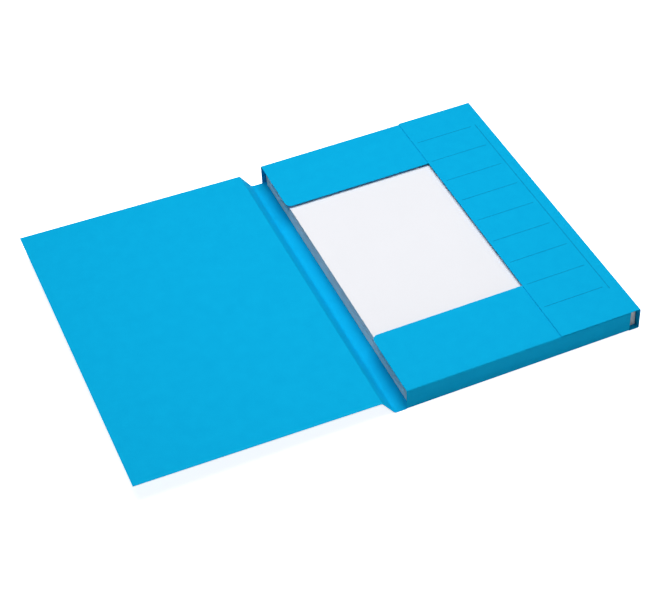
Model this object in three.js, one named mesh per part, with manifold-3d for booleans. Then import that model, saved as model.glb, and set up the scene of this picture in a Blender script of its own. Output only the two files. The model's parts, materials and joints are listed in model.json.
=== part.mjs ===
// A three flap folder, open, with a stack of paper under its folded flaps.
// The folder is one sheet of dyed card. It is scored and folded along straight creases.
// Units are millimetres. +X runs from the spine to the fore-edge, +Y from the foot to the head,
// and +Z up from the surface that the folder lies on.

import * as THREE from 'three';
import { mergeVertices } from 'three/addons/utils/BufferGeometryUtils.js';
import Module from 'manifold-3d';

// The sheet
const cardThickness = 0.4;
const folderLength = 350;
const layerGap = 0.3;       // air between two layers that lie on each other
const creaseSetback = 0.3;  // each panel stops this far from the middle of a working crease

// The back panel, and the box that its flaps fold up into
const gutterWidth = 8.2;    // flat strip between the base crease and the box
const boxWidth = 239;       // from the spine side of the end flaps to the fore-edge
const boxHeight = 23.2;     // outside height of the end walls
const foldRadius = 1;       // at the middle of the card, on folds that stay folded
const headFlapDepth = 72;
const footFlapDepth = 76;
const endFlapRelief = 10.2; // the end walls and flaps stop this far short of the fore-edge
const flapCornerRadius = 6.5;
const foreEdgeFlapWidth = 83;

// The spine strip and the front cover, as they lie when the folder is left open
const spineFlatRun = 0.58;
const spineBendRadius = 5.2;
const spineSlope = 55;      // degrees up from the table
const coverWidth = 232.3;
const coverTilt = 1.5;      // degrees up, towards the cover's free edge

// The paper
const paperInsetAtSpine = 3.8;
const paperInsetAtForeEdge = 0.8;
const paperInsetAtEnds = 5;
const paperLean = 0.8;      // the top sheets lie this much nearer to the spine
const paperHeadroom = 2.8;  // air between the top sheet and the end flaps

const facetAngle = 12;      // degrees of bend for each facet

// Planes that several pieces share
const halfCard = cardThickness / 2;
const foreEdgeX = gutterWidth + boxWidth;
const endFlapStartX = gutterWidth;
const endFlapEndX = foreEdgeX - endFlapRelief;
const foreEdgeCreaseX = foreEdgeX - halfCard;
const foreEdgeCreaseZ = boxHeight + layerGap + halfCard;

const radians = (degrees) => THREE.MathUtils.degToRad(degrees);

const wasm = await Module();
wasm.setup();

function toSolid(geometry) {
  const bare = geometry.clone();
  bare.deleteAttribute('normal');
  bare.deleteAttribute('uv');
  const merged = mergeVertices(bare, 1e-5);
  const mesh = new wasm.Mesh({
    numProp: 3,
    vertProperties: new Float32Array(merged.attributes.position.array),
    triVerts: new Uint32Array(merged.index.array),
  });
  return new wasm.Manifold(mesh);
}

function toGeometry(solid) {
  const mesh = solid.getMesh();
  const geometry = new THREE.BufferGeometry();
  geometry.setAttribute('position', new THREE.BufferAttribute(mesh.vertProperties, 3));
  geometry.setIndex(new THREE.BufferAttribute(mesh.triVerts, 1));
  return geometry;
}

// The cut section of a strip of card that is followed from one end to the other.
// Each step is a straight run, or a bend to the left (positive degrees) or right with its radius.
function cardSection(start, heading, steps) {
  const left = [];
  const right = [];
  const at = start.clone();
  let angle = radians(heading);
  const mark = () => {
    const side = new THREE.Vector2(-Math.sin(angle), Math.cos(angle)).multiplyScalar(halfCard);
    left.push(at.clone().add(side));
    right.push(at.clone().sub(side));
  };
  mark();
  for (const step of steps) {
    if (step.run !== undefined) {
      at.x += step.run * Math.cos(angle);
      at.y += step.run * Math.sin(angle);
      mark();
      continue;
    }
    const facets = Math.ceil(Math.abs(step.bend) / facetAngle);
    const turn = radians(step.bend) / facets;
    const chord = 2 * step.radius * Math.sin(Math.abs(turn) / 2);
    for (let facet = 0; facet < facets; facet += 1) {
      at.x += chord * Math.cos(angle + turn / 2);
      at.y += chord * Math.sin(angle + turn / 2);
      angle += turn;
      mark();
    }
  }
  return { shape: new THREE.Shape([...right, ...left.reverse()]), end: at };
}

// A section drawn in X and Z, drawn out along Y over the folder's length
function alongFolder(shape, length) {
  const geometry = new THREE.ExtrudeGeometry(shape, { depth: length, bevelEnabled: false });
  geometry.rotateX(Math.PI / 2);
  geometry.translate(0, length / 2, 0);
  return geometry;
}

// A section drawn in Y and Z, drawn out along X
function acrossFolder(shape, startX, endX) {
  const geometry = new THREE.ExtrudeGeometry(shape, { depth: endX - startX, bevelEnabled: false });
  const alongY = new THREE.Vector3(0, 1, 0);
  const alongZ = new THREE.Vector3(0, 0, 1);
  const alongX = new THREE.Vector3(1, 0, 0);
  geometry.applyMatrix4(new THREE.Matrix4().makeBasis(alongY, alongZ, alongX));
  geometry.translate(startX, 0, 0);
  return geometry;
}

// A flat panel with its outline drawn in X and Y
function flatPanel(shape, bottomZ) {
  const options = { depth: cardThickness, bevelEnabled: false, curveSegments: 8 };
  const geometry = new THREE.ExtrudeGeometry(shape, options);
  geometry.translate(0, 0, bottomZ);
  return geometry;
}

// The back panel's plan. It is drawn in by the outer radius where the end walls fold up.
function backPanelPlan() {
  const half = folderLength / 2;
  const foldedHalf = half - halfCard - foldRadius;
  const lastX = foreEdgeCreaseX - creaseSetback;
  const plan = new THREE.Shape();
  plan.moveTo(creaseSetback, -half);
  plan.lineTo(endFlapStartX, -half);
  plan.lineTo(endFlapStartX, -foldedHalf);
  plan.lineTo(endFlapEndX, -foldedHalf);
  plan.lineTo(endFlapEndX, -half);
  plan.lineTo(lastX, -half);
  plan.lineTo(lastX, half);
  plan.lineTo(endFlapEndX, half);
  plan.lineTo(endFlapEndX, foldedHalf);
  plan.lineTo(endFlapStartX, foldedHalf);
  plan.lineTo(endFlapStartX, half);
  plan.lineTo(creaseSetback, half);
  plan.closePath();
  return plan;
}

// The foot wall folds up from the back panel, and over at the top. It reaches a little way
// into both panels, so that they join as one sheet.
function footWall() {
  const half = folderLength / 2;
  const overlap = 2;
  const start = new THREE.Vector2(-half + halfCard + foldRadius + overlap, halfCard);
  const wallRun = boxHeight - cardThickness - 2 * foldRadius;
  const steps = [
    { run: overlap },
    { bend: -90, radius: foldRadius },
    { run: wallRun },
    { bend: -90, radius: foldRadius },
    { run: overlap },
  ];
  return acrossFolder(cardSection(start, 180, steps).shape, endFlapStartX, endFlapEndX);
}

// An end flap's plan, for the foot. Its two free corners are rounded.
function footFlap(depth) {
  const fold = -folderLength / 2 + halfCard + foldRadius;
  const free = -folderLength / 2 + depth;
  const radius = flapCornerRadius;
  const plan = new THREE.Shape();
  plan.moveTo(endFlapStartX, fold);
  plan.lineTo(endFlapEndX, fold);
  plan.lineTo(endFlapEndX, free - radius);
  plan.absarc(endFlapEndX - radius, free - radius, radius, 0, Math.PI / 2);
  plan.lineTo(endFlapStartX + radius, free);
  plan.absarc(endFlapStartX + radius, free - radius, radius, Math.PI / 2, Math.PI);
  plan.closePath();
  return flatPanel(plan, boxHeight - cardThickness);
}

// The back panel with the head and foot walls and flaps is one piece of the folded sheet
function backPanel() {
  const panel = toSolid(flatPanel(backPanelPlan(), 0));
  const footEnd = toSolid(footWall()).add(toSolid(footFlap(footFlapDepth)));
  const headEnd = toSolid(footWall()).add(toSolid(footFlap(headFlapDepth))).mirror([0, 1, 0]);
  return toGeometry(panel.add(footEnd).add(headEnd));
}

// The spine strip leaves the table in a soft bend and rises straight to the outer crease.
// Its straight part is as long as it has to be for the strip to stand as high as the box.
function spineSection() {
  const slope = radians(spineSlope);
  const bendRun = spineFlatRun + spineBendRadius * Math.sin(slope);
  const bendRise = spineBendRadius * (1 - Math.cos(slope));
  const standingHeight = boxHeight + layerGap;
  const along = bendRun * Math.cos(slope) + bendRise * Math.sin(slope);
  const rest = standingHeight ** 2 - bendRun ** 2 - bendRise ** 2;
  const slopeLength = Math.sqrt(along ** 2 + rest) - along;
  const start = new THREE.Vector2(-creaseSetback, halfCard);
  const steps = [
    { run: spineFlatRun - creaseSetback },
    { bend: -spineSlope, radius: spineBendRadius },
    { run: slopeLength - creaseSetback },
  ];
  const crease = new THREE.Vector2(
    -bendRun - slopeLength * Math.cos(slope),
    halfCard + bendRise + slopeLength * Math.sin(slope),
  );
  return { ...cardSection(start, 180, steps), crease };
}

const spine = spineSection();

function spinePanel() {
  return alongFolder(spine.shape, folderLength);
}

// The cover is drawn flat, with the middle of its crease at zero, and is hung on that crease
function frontCover() {
  const start = new THREE.Vector2(-creaseSetback, 0);
  const steps = [{ run: coverWidth - creaseSetback }];
  return alongFolder(cardSection(start, 180, steps).shape, folderLength);
}

function foreEdgeWall() {
  const start = new THREE.Vector2(foreEdgeCreaseX, halfCard + creaseSetback);
  const wallRun = foreEdgeCreaseZ - halfCard - 2 * creaseSetback;
  return alongFolder(cardSection(start, 90, [{ run: wallRun }]).shape, folderLength);
}

function foreEdgeFlap() {
  const start = new THREE.Vector2(foreEdgeCreaseX - creaseSetback, foreEdgeCreaseZ);
  const flapRun = foreEdgeFlapWidth - halfCard - creaseSetback;
  return alongFolder(cardSection(start, 180, [{ run: flapRun }]).shape, folderLength);
}

// The stack fills the box from the back panel to the end flaps, and leans a little
function paperStack() {
  const bottomZ = cardThickness + layerGap;
  const topZ = boxHeight - cardThickness - paperHeadroom;
  const spineSide = endFlapStartX + paperInsetAtSpine;
  const foreEdgeSide = foreEdgeX - cardThickness - paperInsetAtForeEdge;
  const section = new THREE.Shape();
  section.moveTo(spineSide, bottomZ);
  section.lineTo(foreEdgeSide, bottomZ);
  section.lineTo(foreEdgeSide - paperLean, topZ);
  section.lineTo(spineSide - paperLean, topZ);
  section.closePath();
  return alongFolder(section, folderLength - 2 * (cardThickness + paperInsetAtEnds));
}

// Dyed card: blue through its whole thickness, matt
function dyedCard() {
  return new THREE.MeshStandardMaterial({ color: 0x0eb0e7, roughness: 0.8, metalness: 0 });
}

function plainPaper() {
  return new THREE.MeshStandardMaterial({ color: 0xf2f3f8, roughness: 0.9, metalness: 0 });
}

function piece(name, geometry, material) {
  const mesh = new THREE.Mesh(geometry, material);
  mesh.name = name;
  return mesh;
}

const folder = new THREE.Group();
folder.add(piece('back_panel_with_end_flaps', backPanel(), dyedCard()));
folder.add(piece('paper_stack', paperStack(), plainPaper()));
folder.add(piece('fore_edge_wall', foreEdgeWall(), dyedCard()));
folder.add(piece('fore_edge_flap', foreEdgeFlap(), dyedCard()));
folder.add(piece('spine_panel', spinePanel(), dyedCard()));

const cover = piece('front_cover', frontCover(), dyedCard());
cover.position.set(spine.crease.x, 0, spine.crease.y);
cover.rotation.y = radians(coverTilt);
folder.add(cover);

// The origin is under the middle of the open folder
folder.updateMatrixWorld(true);
const extent = new THREE.Box3().setFromObject(folder, true);
folder.position.set(-(extent.min.x + extent.max.x) / 2, 0, -extent.min.z);

export default folder;
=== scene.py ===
"""A three flap folder of blue card, open, with a stack of paper under its folded flaps."""

import json
import math
import random

import bpy
from mathutils import Matrix, Vector


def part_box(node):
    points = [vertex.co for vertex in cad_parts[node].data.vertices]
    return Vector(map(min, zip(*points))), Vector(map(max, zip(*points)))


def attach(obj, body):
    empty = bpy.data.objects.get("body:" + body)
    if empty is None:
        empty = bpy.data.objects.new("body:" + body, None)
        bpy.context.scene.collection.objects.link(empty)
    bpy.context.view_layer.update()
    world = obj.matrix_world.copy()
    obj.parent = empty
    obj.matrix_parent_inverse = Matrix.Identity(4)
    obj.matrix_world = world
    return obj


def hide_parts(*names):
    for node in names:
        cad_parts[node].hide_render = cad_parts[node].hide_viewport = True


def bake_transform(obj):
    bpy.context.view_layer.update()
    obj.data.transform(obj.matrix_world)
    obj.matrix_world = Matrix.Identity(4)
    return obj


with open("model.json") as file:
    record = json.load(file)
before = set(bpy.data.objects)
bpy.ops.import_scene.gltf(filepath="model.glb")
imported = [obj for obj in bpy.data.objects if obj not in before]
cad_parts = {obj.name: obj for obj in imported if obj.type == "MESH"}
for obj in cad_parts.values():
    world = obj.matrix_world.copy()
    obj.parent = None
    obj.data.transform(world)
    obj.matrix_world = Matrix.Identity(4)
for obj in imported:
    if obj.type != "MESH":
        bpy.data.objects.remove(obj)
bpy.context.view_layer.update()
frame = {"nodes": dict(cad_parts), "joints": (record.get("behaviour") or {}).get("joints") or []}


# The back panel is the part of the folder's one sheet that stays still, with the end walls and end
# flaps folded up and over from it. The sheet is matt card, dyed through and scored for each fold.
# Its fibres show as faint clouds and a fine tooth.
MM = 0.001
card = 0.4 * MM
back_low, back_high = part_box("back_panel_with_end_flaps")
foot_y, head_y = back_low.y, back_high.y


def written(red, green, blue):
    """A colour given as 0 to 255 screen values, as the shader wants it."""
    def linear(value):
        share = value / 255
        return share / 12.92 if share <= 0.04045 else ((share + 0.055) / 1.055) ** 2.4
    return (linear(red), linear(green), linear(blue), 1.0)


def arithmetic(tree, operation, first, second):
    """What a Math node makes of a socket with another socket or a plain number."""
    node = tree.nodes.new("ShaderNodeMath")
    node.operation = operation
    tree.links.new(first, node.inputs[0])
    if isinstance(second, (int, float)):
        node.inputs[1].default_value = second
    else:
        tree.links.new(second, node.inputs[1])
    return node.outputs["Value"]


def noise(tree, place, grain, detail, roughness, stretch=(1, 1, 1)):
    """Noise over the object, with a grain in metres."""
    placing = tree.nodes.new("ShaderNodeMapping")
    placing.inputs["Scale"].default_value = stretch
    texture = tree.nodes.new("ShaderNodeTexNoise")
    texture.inputs["Scale"].default_value = 1 / grain
    texture.inputs["Detail"].default_value = detail
    texture.inputs["Roughness"].default_value = roughness
    tree.links.new(place, placing.inputs["Vector"])
    tree.links.new(placing.outputs["Vector"], texture.inputs["Vector"])
    return texture.outputs["Fac"]


def sheet_material(name, light, dark, roughness, clouds, fibres, tooth):
    """Uncoated fibre sheet. Clouds and fibres are sizes in metres, tooth the depth of the bump."""
    material = bpy.data.materials.new(name)
    material.use_nodes = True
    tree = material.node_tree
    shader = tree.nodes["Principled BSDF"]
    shader.inputs["Roughness"].default_value = roughness
    shader.inputs["Specular IOR Level"].default_value = 0.05
    place = tree.nodes.new("ShaderNodeTexCoord").outputs["Object"]
    cloud = noise(tree, place, clouds, detail=3, roughness=0.5)
    fibre = noise(tree, place, fibres, detail=4, roughness=0.65, stretch=(1, 0.35, 1))
    mottle = arithmetic(tree, "MULTIPLY", arithmetic(tree, "ADD", cloud, fibre), 0.5)
    ramp = tree.nodes.new("ShaderNodeValToRGB")
    ends = ((0.35, dark), (0.65, light))
    for element, (position, colour) in zip(ramp.color_ramp.elements, ends):
        element.position = position
        element.color = colour
    tree.links.new(mottle, ramp.inputs["Fac"])
    tree.links.new(ramp.outputs["Color"], shader.inputs["Base Color"])
    bump = tree.nodes.new("ShaderNodeBump")
    bump.inputs["Distance"].default_value = tooth
    bump.inputs["Strength"].default_value = 0.5
    tree.links.new(fibre, bump.inputs["Height"])
    tree.links.new(bump.outputs["Normal"], shader.inputs["Normal"])
    return material


dyed_card = sheet_material(
    "dyed_card", light=written(6, 179, 231), dark=written(3, 173, 227), roughness=0.85,
    clouds=12 * MM, fibres=0.8 * MM, tooth=0.03 * MM,
)
back_panel = frame["nodes"]["back_panel_with_end_flaps"]
back_panel.data.materials.clear()
back_panel.data.materials.append(dyed_card)


# The spine strip leaves the back panel at the base crease, bends up softly and rises to the
# crease that the cover swings on. It is scored, not cut, so the card runs on through both
# creases. This piece is its lower half, with the bend.
joint_at = {joint["name"]: Vector(joint["pos_m"]) for joint in frame["joints"]}
base_crease = joint_at["spine_fold"]
cover_crease = joint_at["cover_fold"]
spine_slope = math.radians(55)
spine_flat = 0.58 * MM
spine_bend = 5.2 * MM
crease_gap = back_low.x - base_crease.x


def new_piece(name, vertices, faces):
    """An object made from lists of vertices and faces."""
    mesh = bpy.data.meshes.new(name)
    mesh.from_pydata(vertices, [], faces)
    piece = bpy.data.objects.new(name, mesh)
    bpy.context.scene.collection.objects.link(piece)
    return piece


def arc(centre, radius, start, end, steps):
    """Points of a round bend in X and Z. Angles are in degrees, from +X towards +Z."""
    turns = [math.radians(start + (end - start) * step / steps) for step in range(steps + 1)]
    return [centre + radius * Vector((math.cos(turn), math.sin(turn))) for turn in turns]


def straight(start, end, steps):
    """Points of a straight run, without its start."""
    return [start.lerp(end, step / steps) for step in range(1, steps + 1)]


def card_strip(name, line):
    """A strip of card whose middle follows a line in X and Z, as wide as the folder is long."""
    sides = []
    for index, point in enumerate(line):
        before = line[max(index - 1, 0)]
        after = line[min(index + 1, len(line) - 1)]
        run = (after - before).normalized()
        side = Vector((-run.y, run.x)) * card / 2
        sides.append((point + side, point - side))
    section = [pair[0] for pair in sides] + [pair[1] for pair in reversed(sides)]
    rows = 14
    vertices = []
    for row in range(rows + 1):
        y = foot_y + (head_y - foot_y) * row / rows
        vertices += [(point.x, y, point.y) for point in section]
    count = len(section)
    faces = []
    for row in range(rows):
        for index in range(count):
            following = (index + 1) % count
            a, b = row * count + index, row * count + following
            faces.append((a, a + count, b + count, b))
    for index in range(len(line) - 1):
        end_face = (index, index + 1, count - 2 - index, count - 1 - index)
        faces.append(end_face)
        faces.append(tuple(rows * count + corner for corner in reversed(end_face)))
    piece = new_piece(name, vertices, faces)
    piece.data.validate()
    piece.data.update()
    piece.data.polygons.foreach_set("use_smooth", [True] * len(piece.data.polygons))
    piece.data.set_sharp_from_angle(angle=math.radians(40))
    piece.data.materials.append(dyed_card)
    return piece


at_base_crease = Vector((base_crease.x, base_crease.z))
at_cover_crease = Vector((cover_crease.x, cover_crease.z))
bend_start = at_base_crease - Vector((spine_flat, 0))
bend_centre = bend_start + Vector((0, spine_bend))
bend_end = -90 - math.degrees(spine_slope)
foot_line = [at_base_crease + Vector((crease_gap, 0))]
foot_line += straight(foot_line[0], bend_start, steps=4)
foot_line += arc(bend_centre, spine_bend, -90, bend_end, steps=14)[1:]
spine_middle = (foot_line[-1] + at_cover_crease) / 2
foot_line += straight(foot_line[-1], spine_middle, steps=8)
spine_foot = card_strip("spine_strip_foot", foot_line)
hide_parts("spine_panel")
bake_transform(spine_foot)


# The front cover is the large free panel of the same sheet. Its crease rounds over a little, and
# the stiffness of the card holds it up nearly level. The strip's upper half is in this piece.
cover_low, cover_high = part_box("front_cover")
edge_setback = 0.01 * MM
cover_free_edge = Vector((cover_low.x + edge_setback, cover_high.z - card / 2))
cover_way = (cover_free_edge - at_cover_crease).normalized()
slope_way = Vector((-math.cos(spine_slope), math.sin(spine_slope)))
cover_crease_radius = 3 * MM


def rounded_corner(corner, way_in, way_out, radius, steps):
    """The points of a corner between two straight ways, rounded to a radius."""
    turn = math.acos(max(-1, min(1, way_in.dot(way_out))))
    side = Vector((-way_in.y, way_in.x))
    if side.dot(way_out) < 0:
        side = -side
    centre = corner - way_in * radius * math.tan(turn / 2) + side * radius
    angles = [turn * step / steps for step in range(steps + 1)]
    return [
        centre - side * radius * math.cos(angle) + way_in * radius * math.sin(angle)
        for angle in angles
    ]


cover_corner = rounded_corner(
    at_cover_crease, slope_way, cover_way, cover_crease_radius, steps=10,
)
cover_line = [spine_middle]
cover_line += straight(spine_middle, cover_corner[0], steps=8)
cover_line += cover_corner[1:]
cover_line += straight(cover_corner[-1], cover_free_edge, steps=40)
front_cover = card_strip("front_cover_sheet", cover_line)
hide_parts("front_cover", "spine_panel")
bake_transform(front_cover)


# The fore-edge wall folds up from the back panel and closes the box's long side. This piece is its
# lower half with the fold at its foot.
wall_foot = joint_at["fore_wall_fold"]
wall_top = joint_at["fore_flap_fold"]
at_wall_foot = Vector((wall_foot.x, wall_foot.z))
at_wall_top = Vector((wall_top.x, wall_top.z))
wall_middle = (at_wall_foot + at_wall_top) / 2
outward, upward, inward = Vector((1, 0)), Vector((0, 1)), Vector((-1, 0))

wall_line = rounded_corner(at_wall_foot, outward, upward, crease_gap, steps=6)
wall_line += straight(wall_line[-1], wall_middle, steps=8)
wall = card_strip("fore_edge_wall_foot", wall_line)
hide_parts("fore_edge_wall")
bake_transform(wall)


# The fore-edge flap folds over from the top of its wall and lies on the end flaps. It is in one
# piece with the upper half of the wall, so that the fold between them stays whole.
flap_low, flap_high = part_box("fore_edge_flap")
flap_free_edge = Vector((flap_low.x, at_wall_top.y))
flap_fold_radius = 1 * MM

flap_fold = rounded_corner(at_wall_top, upward, inward, flap_fold_radius, steps=8)
flap_line = [wall_middle]
flap_line += straight(wall_middle, flap_fold[0], steps=8)
flap_line += flap_fold[1:]
flap_line += straight(flap_fold[-1], flap_free_edge, steps=16)
flap = card_strip("fore_edge_flap_sheet", flap_line)
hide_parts("fore_edge_flap", "fore_edge_wall")
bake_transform(flap)


# The fore-edge flap is printed with ruled lines to write on: short ones across it, and a long
# one beside the fold. The ink is a darker blue than the card.
rule_width = 0.55 * MM
ink_depth = 0.02 * MM
rules_from_fold = (16.6 * MM, 78.5 * MM)
margin_from_fold = 11.5 * MM
first_rule_y = -134 * MM
rule_pitch = 33.9 * MM
rule_count = 9
margin_ends = (-138.5 * MM, 138 * MM)
ink = sheet_material(
    "ruled_ink", light=written(4, 128, 178), dark=written(3, 118, 166), roughness=0.85,
    clouds=6 * MM, fibres=0.5 * MM, tooth=0.02 * MM,
)


def add_box(vertices, faces, low, high):
    """Add a closed box between two corners to lists of vertices and faces."""
    first = len(vertices)
    outline = ((low[0], low[1]), (high[0], low[1]), (high[0], high[1]), (low[0], high[1]))
    vertices += [(x, y, z) for z in (low[2], high[2]) for x, y in outline]
    sides = [(3, 2, 1, 0), (4, 5, 6, 7), (0, 1, 5, 4), (1, 2, 6, 5), (2, 3, 7, 6), (3, 0, 4, 7)]
    faces += [tuple(first + corner for corner in side) for side in sides]


half_rule = rule_width / 2
margin_x = wall_top.x - margin_from_fold
rule_ends = (wall_top.x - rules_from_fold[1], wall_top.x - rules_from_fold[0])
rule_places = [first_rule_y + count * rule_pitch for count in range(rule_count)]
strokes = [(rule_ends[0], y - half_rule, rule_ends[1], y + half_rule) for y in rule_places]
strokes.append((margin_x - half_rule, margin_ends[0], margin_x + half_rule, margin_ends[1]))
rule_vertices, rule_faces = [], []
for left, near, right, far in strokes:
    low = (left, near, flap_high.z)
    high = (right, far, flap_high.z + ink_depth)
    add_box(rule_vertices, rule_faces, low, high)
rules = new_piece("ruled_lines", rule_vertices, rule_faces)
rules.data.materials.append(ink)
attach(rules, "fore_flap")


# The paper is a stack of loose office sheets, cut but not bound. They are not quite flush, and the
# stack leans a little towards the spine, so its sides show the edges of the sheets as fine lines.
stack_low, stack_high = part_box("paper_stack")
stack_lean = 0.8 * MM
sheet_pitch = 0.1 * MM
sheet_gap = 0.012 * MM
most_drift_x = 0.06 * MM
most_drift_y = 0.14 * MM
drift_kept = 0.8
paper = sheet_material(
    "office_paper", light=written(243, 244, 249), dark=written(241, 242, 247), roughness=0.9,
    clouds=40 * MM, fibres=0.6 * MM, tooth=0.01 * MM,
)
paper_edge = sheet_material(
    "paper_cut_edge", light=written(246, 246, 244), dark=written(234, 234, 232), roughness=0.95,
    clouds=25 * MM, fibres=0.5 * MM, tooth=0.02 * MM,
)

sheet_count = round((stack_high.z - stack_low.z) / sheet_pitch)
drift = random.Random(7)
shift_x = shift_y = 0.0
sheet_vertices, sheet_faces = [], []
for number in range(sheet_count):
    share = number / (sheet_count - 1)
    shift_x = drift_kept * shift_x + drift.uniform(-most_drift_x, most_drift_x)
    shift_y = drift_kept * shift_y + drift.uniform(-most_drift_y, most_drift_y)
    left = stack_low.x + stack_lean * (1 - share) + shift_x
    right = stack_high.x - stack_lean * share + shift_x
    bottom = stack_low.z + number * sheet_pitch
    low = (left, stack_low.y + shift_y, bottom)
    high = (right, stack_high.y + shift_y, bottom + sheet_pitch - sheet_gap)
    add_box(sheet_vertices, sheet_faces, low, high)
stack = new_piece("paper_sheets", sheet_vertices, sheet_faces)
stack.data.materials.append(paper)
stack.data.materials.append(paper_edge)
faces_of_a_sheet = [0, 0, 1, 1, 1, 1]
stack.data.polygons.foreach_set("material_index", faces_of_a_sheet * sheet_count)
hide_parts("paper_stack")
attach(stack, "back")


# The folder lies on a plain pale surface in a plain pale room. The camera sees both as white, with
# the folder's shadow on the surface. Other light meets a light grey surface and a dim room.
floor_reach = 6.0
floor_gap = 0.05 * MM
glow_starts, glow_full = 0.4, 1.2
least_glow, full_glow = 0.86, 1.0
floor_grey = (0.82, 0.82, 0.82, 1)
room_fill = 0.06


def only_for_camera(tree, seen, unseen, output):
    """The first shader where the camera, a gloss or glass looks, and the second for other light."""
    path = tree.nodes.new("ShaderNodeLightPath")
    shown = path.outputs["Is Camera Ray"]
    for ray in ("Is Glossy Ray", "Is Transmission Ray"):
        shown = arithmetic(tree, "MAXIMUM", shown, path.outputs[ray])
    mix = tree.nodes.new("ShaderNodeMixShader")
    tree.links.new(shown, mix.inputs["Fac"])
    tree.links.new(unseen, mix.inputs[1])
    tree.links.new(seen, mix.inputs[2])
    tree.links.new(mix.outputs["Shader"], output)


floor_outline = [(-1, -1), (1, -1), (1, 1), (-1, 1)]
floor_corners = [(x * floor_reach, y * floor_reach, 0) for x, y in floor_outline]
floor = new_piece("floor", floor_corners, [(0, 1, 2, 3)])
floor.location.z = -floor_gap
floor_paint = bpy.data.materials.new("floor_paint")
floor_paint.use_nodes = True
floor_tree = floor_paint.node_tree
floor_tree.nodes.remove(floor_tree.nodes["Principled BSDF"])
white = floor_tree.nodes.new("ShaderNodeBsdfDiffuse")
white.inputs["Color"].default_value = (1, 1, 1, 1)
glow = floor_tree.nodes.new("ShaderNodeEmission")
away = floor_tree.nodes.new("ShaderNodeVectorMath")
away.operation = "LENGTH"
on_floor = floor_tree.nodes.new("ShaderNodeTexCoord").outputs["Object"]
floor_tree.links.new(on_floor, away.inputs[0])
rising = floor_tree.nodes.new("ShaderNodeMapRange")
rising.inputs["From Min"].default_value = glow_starts
rising.inputs["From Max"].default_value = glow_full
rising.inputs["To Min"].default_value = least_glow
rising.inputs["To Max"].default_value = full_glow
floor_tree.links.new(away.outputs["Value"], rising.inputs["Value"])
floor_tree.links.new(rising.outputs["Result"], glow.inputs["Strength"])
lifted = floor_tree.nodes.new("ShaderNodeAddShader")
floor_tree.links.new(white.outputs["BSDF"], lifted.inputs[0])
floor_tree.links.new(glow.outputs["Emission"], lifted.inputs[1])
grey = floor_tree.nodes.new("ShaderNodeBsdfDiffuse")
grey.inputs["Color"].default_value = floor_grey
only_for_camera(
    floor_tree, lifted.outputs["Shader"], grey.outputs["BSDF"],
    floor_tree.nodes["Material Output"].inputs["Surface"],
)
floor.data.materials.append(floor_paint)

room = bpy.data.worlds.new("studio")
bpy.context.scene.world = room
room.use_nodes = True
room_tree = room.node_tree
backdrop = room_tree.nodes["Background"]
backdrop.inputs["Color"].default_value = (1, 1, 1, 1)
backdrop.inputs["Strength"].default_value = 1.0
fill = room_tree.nodes.new("ShaderNodeBackground")
fill.inputs["Color"].default_value = (0.96, 0.98, 1.0, 1)
fill.inputs["Strength"].default_value = room_fill
only_for_camera(
    room_tree, backdrop.outputs["Background"], fill.outputs["Background"],
    room_tree.nodes["World Output"].inputs["Surface"],
)


# Two soft square lamps light the folder: a large one nearly overhead, and a weak one low in front
# that reaches the foot wall and the ends of the sheets.
def soft_lamp(name, place, size, watts):
    """A square lamp that points at the middle of the open folder."""
    data = bpy.data.lights.new(name, "AREA")
    data.shape = "SQUARE"
    data.size = size
    data.energy = watts
    lamp = bpy.data.objects.new(name, data)
    lamp.location = place
    lamp.rotation_euler = Vector(place).to_track_quat("Z", "Y").to_euler()
    bpy.context.scene.collection.objects.link(lamp)


soft_lamp("key", place=(0.08, 0.1, 1.2), size=1.0, watts=15.9)
soft_lamp("front", place=(0.9, -1.8, 0.45), size=0.6, watts=3.5)


# The camera stands at the foot, to the left of the folder, and looks down on it. It was fitted to
# the corners of the folder, and it leans over by a few degrees.
camera_data = bpy.data.cameras.new("camera")
camera_data.lens = 91.23
camera_data.sensor_width = 36
camera_data.clip_start = 0.05
camera = bpy.data.objects.new("camera", camera_data)
camera_place = Vector((-0.41727, -1.09391, 1.10993))
heading, drop, tilt = (math.radians(angle) for angle in (21.284, 43.637, -3.135))
look = Vector((
    math.sin(heading) * math.cos(drop),
    math.cos(heading) * math.cos(drop),
    -math.sin(drop),
))
level_side = look.cross(Vector((0, 0, 1))).normalized()
level_rise = level_side.cross(look)
camera_side = level_side * math.cos(tilt) + level_rise * math.sin(tilt)
camera_rise = level_rise * math.cos(tilt) - level_side * math.sin(tilt)
camera_turn = Matrix((camera_side, camera_rise, -look)).transposed()
camera.matrix_world = Matrix.Translation(camera_place) @ camera_turn.to_4x4()
bpy.context.scene.collection.objects.link(camera)
bpy.context.scene.camera = camera
bpy.context.scene.view_settings.view_transform = "Standard"
